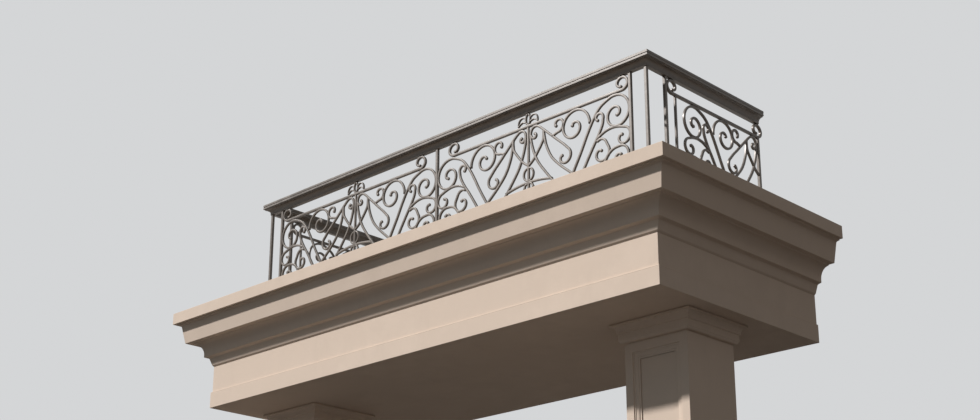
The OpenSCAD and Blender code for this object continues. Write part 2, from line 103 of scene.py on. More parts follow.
class BALCONY_PG_mouldings(PropertyGroup):
    """Reaches are measured from the face of the lower fascia, or of the shaft for a capital"""
    bed: length("Course bed", "Thickness of the courses behind the fascia's face", 0.150)
    splay: length("Splay height", "Height of the splay under the bed mould band", 0.012)
    bed_band: length("Bed band height", "Height from the frieze to the top of the bed mould band", 0.078)
    bed_band_reach: length("Bed band reach", "Reach of the top of the leaning bed mould band", 0.022)
    fillet: length("Fillet height", "Height of the small fillet over the bed mould band", 0.033)
    fillet_reach: length("Fillet reach", "Reach of the small fillet", 0.056)
    cove: length("Cove height", "Height of the cove", 0.097)
    cove_reach: length("Cove reach", "Reach of the top of the cove", 0.130)
    corona_drop: length("Corona drop", "Height of the corona's underside over the cove", 0.007)
    corona_reach: length("Corona reach", "Reach of the lower edge of the corona's face", 0.180)
    corona_face: length("Corona face", "Height of the corona's face", 0.158)
    corona_splay: length("Corona splay", "How far the corona's face leans out", 0.030)
    corona_top_reach: length("Corona top reach", "Reach of the top of the corona's hollow", 0.240)
    small_step: length("Small step", "Rise of the smallest mouldings", 0.008)
    ease: length("Eased edge", "Rounding of the mouldings' edges", 0.003)
    joint: length("Joint", "Width and depth of the joint lines between courses", 0.004)
    panel_mould: length("Panel moulding", "Width of the moulding round a panel", 0.052)
    panel_depth: length("Panel depth", "Depth of a panel's recess", 0.028)


class BALCONY_PG_finish(PropertyGroup):
    stucco: colour("Stucco", "Colour of the stucco", slot_colour["stucco"])
    concrete: colour("Concrete", "Colour of the trowelled screed", slot_colour["concrete"])
    iron: colour("Iron paint", "Colour of the satin paint on the ironwork", slot_colour["iron"])
    stucco_arris: length("Stucco arris", "Rounding of the stucco's outer edges", 0.004)
    iron_arris: length("Iron arris", "Rounding of the edges of posts, bars and handrail", 0.0022)
    stain: share("Stains", "Strength of the faint stains on the stucco", 0.12)
    dust: share("Dust", "Dust on the ironwork's upper faces", 0.35)


class BALCONY_PG_stage(PropertyGroup):
    floor: colour("Floor", "Colour of the floor", (0.62, 0.61, 0.59))
    backdrop: colour("Backdrop", "Colour that the camera sees behind the balcony", (0.66, 0.67, 0.68))
    bounce: colour("Floor bounce", "Colour of the light that the floor sends up", (0.043, 0.037, 0.032))
    floor_side: length("Floor side", "Side of the square floor", 90.0)
    key: FloatProperty(name="Key light", description="Strength of the soft key light",
                       default=4.3, min=0.0)
    fill: FloatProperty(name="Fill light", description="Strength of the soft light all round",
                        default=0.258, min=0.0)


# Shader sheets: plain arithmetic on sockets, and one method for every other node

class Term:
    """An output of a shader node. Arithmetic on it adds Math nodes, also as in 1 - mask."""

    def __init__(self, sheet, socket):
        self.sheet = sheet
        self.socket = socket

    def _math(self, operation, a, b):
        return self.sheet.node("ShaderNodeMath", {"operation": operation}, {0: a, 1: b})

    def __add__(self, other):
        return self._math("ADD", self, other)

    def __radd__(self, other):
        return self._math("ADD", other, self)

    def __sub__(self, other):
        return self._math("SUBTRACT", self, other)

    def __rsub__(self, other):
        return self._math("SUBTRACT", other, self)

    def __mul__(self, other):
        return self._math("MULTIPLY", self, other)

    def __rmul__(self, other):
        return self._math("MULTIPLY", other, self)


class Sheet:
    """A node tree that is filled from Python expressions."""

    def __init__(self, tree):
        self.tree = tree
        tree.nodes.clear()

    def node(self, kind, settings, inputs, output=0):
        """Adds a node: its settings first, then the values or links of its sockets"""
        made = self.tree.nodes.new(kind)
        for name, value in settings.items():
            if name == "stops":
                ramp = made.color_ramp
                while len(ramp.elements) < len(value):
                    ramp.elements.new(1.0)
                for element, (position, tone) in zip(ramp.elements, value):
                    element.position = position
                    element.color = tone
            else:
                setattr(made, name, value)
        for name, value in inputs.items():
            if isinstance(value, Term):
                self.tree.links.new(value.socket, made.inputs[name])
            else:
                made.inputs[name].default_value = value
        return Term(self, made.outputs[output]) if made.outputs else None

    def position(self):
        return self.node("ShaderNodeTexCoord", {}, {}, "Object")

    def stretch(self, vector, scale):
        return self.node("ShaderNodeVectorMath", {"operation": "MULTIPLY"}, {0: vector, 1: scale})

    def noise(self, vector, scale, detail=3.0, roughness=0.5):
        return self.node("ShaderNodeTexNoise", {}, {"Vector": vector, "Scale": scale, "Detail": detail,
                                                    "Roughness": roughness}, "Fac")

    def band(self, value, low, high, to_low=0.0, to_high=1.0):
        """value from low to high, turned smoothly into to_low to to_high"""
        return self.node("ShaderNodeMapRange", {"interpolation_type": "SMOOTHSTEP"},
                         {"Value": value, "From Min": low, "From Max": high,
                          "To Min": to_low, "To Max": to_high})

    def blend(self, factor, a, b, mode="MIX"):
        return self.node("ShaderNodeMix", {"data_type": "RGBA", "blend_type": mode},
                         {"Factor": factor, 6: a, 7: b}, 2)

    def bump(self, height, distance, strength=1.0, normal=None):
        inputs = {"Height": height, "Distance": distance, "Strength": strength}
        if normal is not None:
            inputs["Normal"] = normal
        return self.node("ShaderNodeBump", {}, inputs)

    def backdrop_rays(self):
        """1 on the rays that show the stage: from the camera, off gloss and through glass"""
        camera, glossy, transmission = [self.node("ShaderNodeLightPath", {}, {}, f"Is {kind} Ray")
                                        for kind in ("Camera", "Glossy", "Transmission")]
        return camera + glossy + transmission

    def surface(self, shader, target="ShaderNodeOutputMaterial"):
        self.node(target, {}, {"Surface": shader})


def opaque(rgb, factor=1.0):
    """A socket's colour: rgb times factor, with full alpha"""
    return (rgb[0] * factor, rgb[1] * factor, rgb[2] * factor, 1.0)


def finish_sheet(name):
    """A new material with an empty sheet"""
    material = bpy.data.materials.new(name)
    material.use_nodes = True
    return material, Sheet(material.node_tree)


def upward(sheet):
    """How far a surface faces up, from 0 on walls to 1 on level tops"""
    normal = sheet.node("ShaderNodeNewGeometry", {}, {}, "Normal")
    return sheet.node("ShaderNodeSeparateXYZ", {}, {"Vector": normal}, "Z")


def stucco_finish(finish):
    """Fine float-finished stucco: cloudy tone, faint runs below the ledges, sanded grain"""
    material, sheet = finish_sheet("stucco_finish")
    place = sheet.position()
    clouds = sheet.noise(place, scale=0.9, detail=4.0, roughness=0.55)
    mottle = sheet.noise(place, scale=5.5, detail=5.0, roughness=0.6)
    grain = sheet.noise(place, scale=260.0, detail=2.0, roughness=0.6)
    runs = sheet.noise(sheet.stretch(place, (2.4, 2.4, 0.6)), scale=1.6, detail=5.0, roughness=0.62)
    tone = sheet.band(clouds, 0.35, 0.65, -0.5, 0.5) * 0.10 + sheet.band(mottle, 0.3, 0.7, -0.5, 0.5) * 0.07
    warm = sheet.blend(sheet.band(clouds, 0.3, 0.7), opaque(finish.stucco), opaque(finish.stucco, 0.95))
    shaded = sheet.blend(sheet.band(mottle * 0.5 + grain * 0.5, 0.42, 0.58, 0.0, 0.14), warm,
                         opaque(finish.stucco, 0.72))
    soiled = sheet.blend(sheet.band(runs, 0.52, 0.78) * finish.stain, shaded, opaque(finish.stucco, 0.60))
    lit = sheet.blend(sheet.band(tone, 0.0, 0.1, 0.0, 0.35), soiled, opaque(finish.stucco, 1.07))
    rough = 0.86 + sheet.band(mottle, 0.3, 0.7, -0.05, 0.06)
    waves = sheet.noise(place, scale=3.0, detail=2.0)
    swirls = sheet.noise(sheet.stretch(place, (1.0, 1.0, 1.7)), scale=42.0, detail=4.0, roughness=0.6)
    trowel = sheet.bump(waves, distance=0.004, strength=0.6)
    float_marks = sheet.bump(swirls, distance=0.0012, strength=0.5, normal=trowel)
    sand = sheet.bump(grain, distance=0.0009, strength=0.7, normal=float_marks)
    sheet.surface(sheet.node("ShaderNodeBsdfPrincipled", {}, {
        "Base Color": lit, "Roughness": rough, "Specular IOR Level": 0.15, "Normal": sand}))
    return material


def concrete_finish(finish):
    """Trowelled grey screed with fine pits and a few darker drying marks"""
    material, sheet = finish_sheet("concrete_finish")
    place = sheet.position()
    clouds = sheet.noise(place, scale=2.2, detail=5.0, roughness=0.6)
    pits = sheet.noise(place, scale=150.0, roughness=0.7)
    sweep = sheet.noise(sheet.stretch(place, (1.0, 6.0, 1.0)), scale=3.0, detail=4.0, roughness=0.6)
    base = sheet.blend(sheet.band(clouds, 0.35, 0.7), opaque(finish.concrete),
                       opaque(finish.concrete, 0.78))
    dried = sheet.blend(sheet.band(sweep, 0.5, 0.75, 0.0, 0.25), base, opaque(finish.concrete, 0.6))
    spots = sheet.blend(sheet.band(pits, 0.62, 0.72, 0.0, 0.5), dried, opaque(finish.concrete, 0.45))
    rough = 0.80 + sheet.band(clouds, 0.3, 0.7, -0.08, 0.08)
    trowelled = sheet.bump(sweep, distance=0.002, strength=0.4)
    pitted = sheet.bump(pits, distance=0.0009, strength=0.6, normal=trowelled)
    sheet.surface(sheet.node("ShaderNodeBsdfPrincipled", {}, {
        "Base Color": spots, "Roughness": rough, "Specular IOR Level": 0.3, "Normal": pitted}))
    return material


DUST = (0.30, 0.26, 0.21)


def iron_finish(finish):
    """Dark bronze satin paint over forged bars: soft hammer marks, orange peel and dust on top"""
    material, sheet = finish_sheet("iron_finish")
    place = sheet.position()
    worn = sheet.noise(place, scale=9.0, detail=5.0, roughness=0.65)
    peel = sheet.noise(place, scale=420.0, detail=2.0)
    hammer = sheet.noise(place, scale=34.0, detail=2.0, roughness=0.4)
    base = sheet.blend(sheet.band(worn, 0.35, 0.7), opaque(finish.iron), opaque(finish.iron, 1.45))
    settled = sheet.band(upward(sheet), 0.4, 0.98) * sheet.band(worn, 0.3, 0.6, 0.4, 1.0) * finish.dust
    dusty = sheet.blend(settled, base, opaque(DUST))
    rough = 0.38 + sheet.band(worn, 0.3, 0.7, -0.05, 0.06) + settled * 0.35
    hammered = sheet.bump(hammer, distance=0.0010, strength=0.35)
    peeled = sheet.bump(peel, distance=0.0002, strength=0.4, normal=hammered)
    sheet.surface(sheet.node("ShaderNodeBsdfPrincipled", {}, {
        "Base Color": dusty, "Roughness": rough, "IOR": 1.55, "Specular IOR Level": 0.52,
        "Specular Tint": (1.0, 0.94, 0.88, 1.0), "Normal": peeled}))
    return material


FINISHES = {"stucco": stucco_finish, "concrete": concrete_finish, "iron": iron_finish}


def shared_finish(slot):
    """The finish of one of the record's slots, made once"""
    return bpy.data.materials.get(f"{slot}_finish") or FINISHES[slot](bpy.context.scene.balcony_finish)


# Carried-over CAD nodes

WELD_GAP = 0.00005
ARRIS_ANGLE = 28.0
ARRIS_SEGMENTS = 2
FACE_WEIGHT = 100


def smooth_group():
    """Geometry nodes that shade a mesh smooth, for the weighted normals after them"""
    group = bpy.data.node_groups.get("smooth_faces")
    if group is None:
        group = bpy.data.node_groups.new("smooth_faces", "GeometryNodeTree")
        group.interface.new_socket("Geometry", in_out="INPUT", socket_type="NodeSocketGeometry")
        group.interface.new_socket("Geometry", in_out="OUTPUT", socket_type="NodeSocketGeometry")
        start = group.nodes.new("NodeGroupInput")
        shade = group.nodes.new("GeometryNodeSetShadeSmooth")
        end = group.nodes.new("NodeGroupOutput")
        group.links.new(start.outputs[0], shade.inputs["Geometry"])
        group.links.new(shade.outputs[0], end.inputs[0])
    return group


def weigh_normals(obj):
    weighted = obj.modifiers.new("weighted_normals", "WEIGHTED_NORMAL")
    weighted.weight = FACE_WEIGHT


def soften(obj, arris):
    """Welds, rounds the edges and evens the shading of a CAD node with modifiers alone"""
    weld = obj.modifiers.new("weld", "WELD")
    weld.merge_threshold = WELD_GAP
    if arris == 0:
        return
    bevel = obj.modifiers.new("arris", "BEVEL")
    bevel.width = arris
    bevel.segments = ARRIS_SEGMENTS
    bevel.limit_method = "ANGLE"
    bevel.angle_limit = math.radians(ARRIS_ANGLE)
    bevel.loop_slide = False
    smooth = obj.modifiers.new("smooth", "NODES")
    smooth.node_group = smooth_group()
    weigh_normals(obj)


def dress(slot, arris, starts=""):
    """Finishes the CAD nodes of a slot, or those whose names start with one of the given words"""
    for name in slot_nodes[slot]:
        if name.startswith(starts):
            obj = frame["nodes"][name]
            for holder in obj.material_slots:
                holder.material = shared_finish(slot)
            soften(obj, arris)


# Mouldings. A profile is a closed list of (reach, height) points, run round plan corners.

EASED_TURN = 20
MOST_CUT = 0.45
AT_BED = 1e-4
CUT_ENDS = 0.3
CUT_CORNER = 0.4


def arc(centre, rx, rz, a0, a1, steps):
    """Points of an ellipse from angle a0 to a1, in degrees"""
    angles = [math.radians(a0 + (a1 - a0) * i / steps) for i in range(steps + 1)]
    return [(centre[0] + rx * math.cos(a), centre[1] + rz * math.sin(a)) for a in angles]


def eased(profile, radius, free=lambda point: True):
    """Rounds the profile's free corners that turn by more than EASED_TURN degrees"""
    points = [Vector(q) for q in profile]
    out = []
    for i, q in enumerate(points):
        before = points[i - 1] - q
        after = points[(i + 1) % len(points)] - q
        turn = math.degrees(math.pi - before.angle(after))
        if turn < EASED_TURN or not free(q):
            out.append(q)
            continue
        cut = min(radius, MOST_CUT * before.length, MOST_CUT * after.length)
        start = q + before.normalized() * cut
        end = q + after.normalized() * cut
        out += [start, start * CUT_ENDS + end * CUT_ENDS + q * CUT_CORNER, end]
    return out


def corner(x, y, sx, sy, radius, steps=3):
    """Points round a plan corner that points towards (sx, sy), from its x side to its y side"""
    if radius == 0:
        return [(x, y)]
    cx = x - sx * radius
    cy = y - sy * radius
    turns = [math.radians(90 * i / steps) for i in range(steps + 1)]
    return [(cx + sx * radius * math.cos(a), cy + sy * radius * math.sin(a)) for a in turns]


def rectangle(cx, cy, half_x, half_y, radius):
    """Plan points round a rectangle whose corners are eased, for a moulding of any reach"""
    def plan(reach):
        points = []
        for sx, sy, flip in ((1, 1, 1), (-1, 1, -1), (-1, -1, 1), (1, -1, -1)):
            points += corner(cx + sx * (half_x + reach), cy + sy * (half_y + reach), sx, sy, radius)[::flip]
        return points
    return plan


def skin(bm, rows, round_row=True, back_to_first=False):
    """Faces between rows of vertices, also round each row and from the last row to the first"""
    count = len(rows[0])
    for a, b in zip(rows, rows[1:] + (rows[:1] if back_to_first else [])):
        for k in range(count if round_row else count - 1):
            bm.faces.new((a[k], a[(k + 1) % count], b[(k + 1) % count], b[k]))


def run_moulding(bm, profile, plan, place, ring=True):
    """Skins a closed profile along its plan: a ring, or a run with crisp flat ends"""
    rows = [[bm.verts.new(place(x, y, q[1])) for x, y in plan(q[0])] for q in profile]
    skin(bm, rows, round_row=ring, back_to_first=True)
    if not ring:
        bm.faces.new([bm.verts.new(row[0].co) for row in rows])
        bm.faces.new([bm.verts.new(row[-1].co) for row in reversed(rows)])


def upright(x, y, z):
    """Places a moulding whose heights stand up"""
    return Vector((x, y, z))


def three_sides(x0, x1, front, end, radius):
    """Plan points from the back end on the left, round the front, to the back end on the right"""
    def plan(reach):
        return ([(x0 - reach, end)] + corner(x0 - reach, front - reach, -1, -1, radius)
                + corner(x1 + reach, front - reach, 1, -1, radius)[::-1] + [(x1 + reach, end)])
    return plan


# Forged bars. A path is a list of (u, z) points in a panel's plane.

EYE_STEPS = 3
EYE_TURN = 15
EYE_LEAST = 6
SPAN_STEPS = 6


def spiral(centre, r0, r1, a0, a1, bend=1.0):
    """A spiral eye whose radius falls from r0 to r1, late where bend is over 1"""
    steps = EYE_STEPS * max(EYE_LEAST, math.ceil(abs(a1 - a0) / EYE_TURN))
    points = []
    for i in range(steps + 1):
        t = i / steps
        angle = math.radians(a0 + (a1 - a0) * t)
        radius = r0 + (r1 - r0) * t ** bend
        points.append(Vector((centre[0] + radius * math.cos(angle), centre[1] + radius * math.sin(angle))))
    return points


def curve_point(a, b, c, d, t):
    """The point at share t of a smooth curve from b to c, whose neighbours are a and d"""
    return 0.5 * (2 * b + (c - a) * t + (2 * a - 5 * b + 4 * c - d) * t ** 2
                  + (3 * b - a - 3 * c + d) * t ** 3)


def spans(points, count):
    """A smooth curve along the first spans between listed points"""
    p = [Vector(q) for q in points]
    last = len(p) - 1
    return [curve_point(p[max(i - 1, 0)], p[i], p[i + 1], p[min(i + 2, last)], k / SPAN_STEPS)
            for i in range(count) for k in range(SPAN_STEPS)]


def stem(points):
    """A smooth curve through listed points"""
    return spans(points, len(points) - 1) + [Vector(points[-1])]


def scroll(foot, eye):
    """A stem that runs on into an eye"""
    return spans(foot + [eye[0], eye[EYE_STEPS]], len(foot)) + eye


# The drawn grid of half a bay, as in the part: from the middle bar to the end post's face, and from
# the bottom bar's middle to the top bar's
GRID = (997, 688)
SCROLLS = [
    scroll([(352, 0), (450, 178), (527, 312), (590, 433), (650, 533), (722, 618)],
           spiral((870, 520), 151, 18, 108, -420)),
    spiral((464, 540), 156, 20, -8, 500),
    scroll([(452, 0), (520, 116), (585, 224), (645, 318), (700, 398), (738, 470)],
           spiral((707, 535), 44, 22, -25, 235)),
    scroll([(686, 372), (728, 395), (776, 412), (833, 418), (890, 409)],
           spiral((930, 322), 70, 18, 75, -240, 2)),
    scroll([(684, 350), (722, 361), (760, 342)],
           spiral((725, 252), 74, 16, 36, -265, 2.4)),
    scroll([(716, 0), (742, 120), (776, 203), (830, 246)],
           spiral((900, 171), 85, 16, 95, -290, 1.5)),
    scroll([(248, 532)], spiral((305, 606), 58, 20, -92, 190, 2)),
    scroll([(372, 0), (318, 74), (262, 150), (183, 248), (103, 357), (60, 448), (33, 540), (25, 612),
            (42, 655), (80, 667), (122, 646), (208, 569), (303, 482), (356, 435)],
           spiral((360, 334), 68, 20, 52, -205, 2.4)),
    scroll([(30, 600)], spiral((64, 594), 27, 14, 205, 420)),
]
TIED_STEMS = [
    stem([(158, 612), (168, 545), (188, 465), (236, 365), (312, 280), (400, 203), (500, 120), (632, 0)]),
    stem([(160, 600), (154, 536), (130, 494), (99, 453), (67, 413), (41, 388), (5, 362)]),
]
RING_CENTRE = (0, 288)
RING_RADII = (50, 53)
RING_STEPS = 48
RING_BAR = 0.8
ARCH_HALF = 240
ARCH_CROWN = 222
ARCH_RISE = 32
ARCH_STEPS = 12
BUD = stem([(6, 214), (32, 206), (45, 180)])

# Depths of the bars as shares of the panel's depth: bars that cross lie a hair apart, as forged ones do
SCROLL_STEP = 0.012
SCROLL_LEVELS = 5
STEM_DEPTH = 0.975
STEM_STEP = 0.02
UPRIGHT_DEPTH = 0.99
RING_DEPTH = 0.965
ARCH_DEPTH = 0.945
BUD_DEPTH = 0.93

# A top bar, and the curl at each of its ends: a half round, then an eye that turns inwards
CURL_STRETCH = 1.12
CURL_STEPS = 36
CURL_EYE_STEPS = 24
CURL_EYE_TURN = 165
CURL_EYE_SHRINK = 0.56
CURL_EYE_TAPER = 0.08
TOP_BAR_STEPS = 24

# The crest over a bay, in shares of its reach and of the room under the handrail
CREST_LOOP = 0.27
CREST_STEPS = 40
CREST_LOOP_DEPTH = 0.9
CREST_LEAF_DEPTH = 0.82
CREST_LEAF_TAPER = 0.25
CREST_LEAVES = [
    stem([(0.20, 0.60), (0.50, 0.75), (0.78, 0.66), (0.93, 0.42), (0.94, 0.12)]),
    stem([(0.22, 0.26), (0.52, 0.36), (0.76, 0.26), (0.92, 0.14)]),
]

# The section of a bar, and the swelling snub at its end
CORNER_STEPS = 2
SNUB_START = 0.73
SNUB_ANGLES = (128, 112, 96, 80, 64, 48, 33, 20, 9)
SNUB_THINNING = 0.35


class Forge:
    """Collects the bars of one piece in a panel's plane: place(u, z, depth) gives the real point"""

    def __init__(self, place):
        ironwork = bpy.context.scene.balcony_ironwork
        self.bm = bmesh.new()
        self.place = place
        self.edge = ironwork.edge_round
        self.snub = ironwork.snub

    def section(self, width, depth):
        """Corner-rounded rectangle as (across, through) pairs"""
        edge = min(self.edge, MOST_CUT * width, MOST_CUT * depth)
        corners = ((1, 1, 0), (-1, 1, 90), (-1, -1, 180), (1, -1, 270))
        return [(sx * (width / 2 - edge) + edge * math.cos(math.radians(a0 + 90 * k / CORNER_STEPS)),
                 sy * (depth / 2 - edge) + edge * math.sin(math.radians(a0 + 90 * k / CORNER_STEPS)))
                for sx, sy, a0 in corners for k in range(CORNER_STEPS + 1)]

    def ring(self, point, heading, width, depth):
        """The vertices of a bar's section, square to its heading"""
        across = Vector((-heading.y, heading.x))
        verts = []
        for s, t in self.section(width, depth):
            q = point + across * s
            verts.append(self.bm.verts.new(self.place(q.x, q.y, t)))
        return verts

    def bar(self, path, width, depth, snub_start=False, snub_end=False, closed=False):
        """width is one number, or one for each point of the path"""
        last = len(path) - 1
        widths = width if isinstance(width, list) else [width] * (last + 1)
        headings = []
        for i in range(last + 1):
            before = path[i - 1] if i > 0 or closed else path[i]
            after = path[(i + 1) % (last + 1)] if i < last or closed else path[i]
            headings.append((after - before).normalized())
        keep = range(last + 1)
        if snub_start:
            reach = self.snub * widths[0] * SNUB_START
            keep = [i for i in keep if (path[i] - path[0]).length > reach]
        if snub_end:
            reach = self.snub * widths[last] * SNUB_START
            keep = [i for i in keep if (path[i] - path[last]).length > reach]
        rings = [self.ring(path[i], headings[i], widths[i], depth) for i in keep]
        if snub_start:
            rings = self.bead(path[0], -headings[0], widths[0], depth, True) + rings
        if snub_end:
            rings = rings + self.bead(path[last], headings[last], widths[last], depth, False)
        skin(self.bm, rings, back_to_first=closed)
        if not closed:
            self.bm.faces.new(rings[0])
            self.bm.faces.new(reversed(rings[-1]))

    def bead(self, point, outward, width, depth, at_start):
        """Rings of a snub end: a thick round that swells from the bar and closes"""
        radius = self.snub * width
        rings = []
        for a in SNUB_ANGLES:
            swing = math.radians(a)
            thin = 1.0 - SNUB_THINNING * max(0.0, math.cos(swing)) ** 3
            heading = -outward if at_start else outward
            rings.append(self.ring(point + outward * (radius * math.cos(swing)), heading,
                                   2 * radius * math.sin(swing), depth * thin))
        return rings[::-1] if at_start else rings

    def piece(self, node):
        """Ends the piece, which takes the CAD node's place"""
        bmesh.ops.recalc_face_normals(self.bm, faces=self.bm.faces)
        finish_piece(self.bm, f"forged_{node}", "iron", (node,))


def finish_piece(bm, name, slot, replaced=()):
    """Turns a bmesh into a smooth-shaded piece that rides on the body"""
    mesh = bpy.data.meshes.new(name)
    bm.to_mesh(mesh)
    bm.free()
    for polygon in mesh.polygons:
        polygon.use_smooth = True
    mesh.materials.append(shared_finish(slot))
    obj = bpy.data.objects.new(name, mesh)
    bpy.context.scene.collection.objects.link(obj)
    weigh_normals(obj)
    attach(obj, BODY)
    if replaced:
        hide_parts(*replaced)


def run_round(name, slot, profile, plan):
    """One moulding round the three sides, in place of its three CAD nodes"""
    bm = bmesh.new()
    run_moulding(bm, profile, plan, upright, ring=False)
    finish_piece(bm, f"run_{name}", slot, [f"{name}_{side}" for side in SIDES])


def front_plane(centre_x, mid_y):
    """u runs from the middle to the right"""
    return lambda u, z, depth: Vector((centre_x + u, mid_y + depth, z))


def return_plane(mid_x, start_y):
    """u runs from the back post towards the front"""
    return lambda u, z, depth: Vector((mid_x + depth, start_y - u, z))


def panel_levels():
    """Middle heights of the bottom and top bars, and the thickness of both"""
    low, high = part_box("bottom_bar_front")
    bar = high.z - low.z
    return (low.z + high.z) / 2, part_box("top_bar_front_left")[0].z + bar / 2, bar


def loop(x, z, rx, rz, steps):
    """Points once round an ellipse"""
    return [(x + rx * math.cos(math.tau * i / steps), z + rz * math.sin(math.tau * i / steps))
            for i in range(steps)]


def fit_path(path, half, z0, z1, side=1):
    """From the drawn grid to the real opening"""
    return [Vector((side * q[0] * half / GRID[0], z0 + q[1] * (z1 - z0) / GRID[1])) for q in path]


def half_bay(forge, half, z0, z1, side, width, depth):
    for index, path in enumerate(SCROLLS):
        share_of_depth = 1 - SCROLL_STEP * (index % SCROLL_LEVELS)
        forge.bar(fit_path(path, half, z0, z1, side), width, depth * share_of_depth, snub_end=True)
    for index, path in enumerate(TIED_STEMS):
        forge.bar(fit_path(path, half, z0, z1, side), width, depth * (STEM_DEPTH - STEM_STEP * index))


def middle_bar(forge, half, z0, z1, width, depth):
    """The upright in the middle of a bay, with its ring, its arch and two buds"""
    ring_bar = width * RING_BAR
    forge.bar([Vector((0, z0)), Vector((0, z1))], width, depth * UPRIGHT_DEPTH)
    turns = loop(RING_CENTRE[0], RING_CENTRE[1], RING_RADII[0], RING_RADII[1], RING_STEPS)
    forge.bar(fit_path(turns, half, z0, z1), ring_bar, depth * RING_DEPTH, closed=True)
    arch = [(ARCH_HALF * i / ARCH_STEPS, ARCH_CROWN - ARCH_RISE * (i / ARCH_STEPS) ** 2)
            for i in range(-ARCH_STEPS, ARCH_STEPS + 1)]
    forge.bar(fit_path(arch, half, z0, z1), width, depth * ARCH_DEPTH)
    for side in (-1, 1):
        forge.bar(fit_path(BUD, half, z0, z1, side), ring_bar, depth * BUD_DEPTH, snub_end=True)


def top_curl(reach, x, z, bar, scroll_width, side):
    """The end of a top bar: it rises in a round of that reach till it touches the handrail"""
    path = []
    widths = []

    def add(degrees, radius, width):
        angle = math.radians(degrees)
        path.append(Vector((x + side * radius * CURL_STRETCH * math.cos(angle),
                            z + radius * math.sin(angle))))
        widths.append(width)

    for i in range(1, CURL_STEPS + 1):
        t = i / CURL_STEPS
        width = bar + (scroll_width - bar) * min(1.0, 2 * t)
        add(270 + 180 * t, reach - width / 2, width)
    start = reach - scroll_width / 2
    for i in range(1, CURL_EYE_STEPS + 1):
        t = i / CURL_EYE_STEPS
        add(450 + CURL_EYE_TURN * t, start * (1 - CURL_EYE_SHRINK * t),
            scroll_width * (1 - CURL_EYE_TAPER * t))
    return path, widths


def top_bar(forge, u0, u1, level, rail_under, bar, scroll_width):
    """A top bar whose curls reach from u0 to u1"""
    under = level - bar / 2
    reach = (rail_under - under) / 2
    inset = reach * CURL_STRETCH
    first, first_widths = top_curl(reach, u0 + inset, under + reach, bar, scroll_width, -1)
    second, second_widths = top_curl(reach, u1 - inset, under + reach, bar, scroll_width, 1)
    run = (u1 - inset) - (u0 + inset)
    straight = [Vector((u0 + inset + run * i / TOP_BAR_STEPS, level)) for i in range(TOP_BAR_STEPS + 1)]
    widths = first_widths[::-1] + [bar] * len(straight) + second_widths
    forge.bar(first[::-1] + straight + second, widths, bar, snub_start=True, snub_end=True)


def crest(forge, u, level, rail_under, bar, ironwork):
    """The crest over the middle of a bay: a standing loop between two pairs of leaf hooks"""
    base = level + bar / 2
    room = rail_under - base
    thick = ironwork.crest_bar
    loop_h = room + thick / 4
    rx = ironwork.crest_reach * CREST_LOOP - thick / 2
    rz = loop_h / 2 - thick / 2
    middle = rail_under - loop_h / 2
    turns = [Vector(q) for q in loop(u, middle, rx, rz, CREST_STEPS)]
    forge.bar(turns, thick, bar * CREST_LOOP_DEPTH, closed=True)
    for side in (-1, 1):
        for leaf in CREST_LEAVES:
            path = [Vector((u + side * q[0] * ironwork.crest_reach, base + q[1] * room)) for q in leaf]
            widths = [thick * (1 - CREST_LEAF_TAPER * i / len(path)) for i in range(len(path))]
            forge.bar(path, widths, bar * CREST_LEAF_DEPTH, snub_end=True)


# Post feet

NEAR_DECK = 0.001
POST_APART = 0.05
SQUARE = ((-1, -1), (1, -1), (1, 1), (-1, 1))
PLATE_CHAMFER = 0.002
PLATE_WELD = 0.005
BOLT_INSET = 0.013
BOLT_SIDES = 14
# Radius and height of a washer and the head on it, in radiuses of the head
BOLT_PROFILE = ((1.35, 0.0), (1.35, 0.16), (1.28, 0.2), (1.0, 0.2), (1.0, 0.36), (0.86, 0.62), (0.55, 0.82),
                (0.2, 0.9))


def post_places(node):
    """Plan middles of the posts in a CAD node, from its corner points on the deck"""
    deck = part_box(node)[0].z
    corners = {(round(v.co.x, 4), round(v.co.y, 4)) for v in frame["nodes"][node].data.vertices
               if v.co.z < deck + NEAR_DECK}
    places = []
    while corners:
        x, y = min(corners)
        post = {c for c in corners if abs(c[0] - x) < POST_APART and abs(c[1] - y) < POST_APART}
        places.append((sum(c[0] for c in post) / len(post), sum(c[1] for c in post) / len(post)))
        corners -= post
    return places


def stack(bm, rings):
    """Skins closed rings of points from the bottom up, with a face at each end"""
    rings = [[bm.verts.new(q) for q in ring] for ring in rings]
    skin(bm, rings)
    bm.faces.new(reversed(rings[0]))
    bm.faces.new(rings[-1])


def foot_plate(bm, x, y, z, ironwork, post):
    """A chamfered plate with a weld round the post and four domed bolt heads"""
    half = ironwork.foot_plate / 2
    top = z + ironwork.foot_thickness
    inner = post / 2
    levels = ((half, z), (half, top - PLATE_CHAMFER), (half - PLATE_CHAMFER, top),
              (inner + PLATE_WELD, top), (inner, top + PLATE_WELD))
    stack(bm, [[(x + sx * side, y + sy * side, level) for sx, sy in SQUARE] for side, level in levels])
    bolt_at = half - BOLT_INSET
    for sx, sy in SQUARE:
        bolt(bm, x + sx * bolt_at, y + sy * bolt_at, top, ironwork.bolt_head)


def bolt(bm, x, y, z, radius):
    """A domed head on a thin washer"""
    stack(bm, [[(*q, z + radius * h) for q in loop(x, y, radius * r, radius * r, BOLT_SIDES)]
               for r, h in BOLT_PROFILE])


# Operators, one for each piece or group of like pieces

class BALCONY_OT_stonework(Operator):
    """Stucco on the shafts, plinths and bases, and on the flat soffit"""
    bl_idname = "balcony.stonework"
    bl_label = "Stonework"

    def execute(self, context):
        dress("stucco", context.scene.balcony_finish.stucco_arris, ("shaft", "plinth", "base"))
        dress("stucco", 0.0, "soffit_board")
        return {"FINISHED"}


# The shadow line under the fascia's top, in widths of a joint
QUIRK_DOWN = 1.5
QUIRK_DEPTH = 1 / 3
QUIRK_BED = (0.6, 0.4)


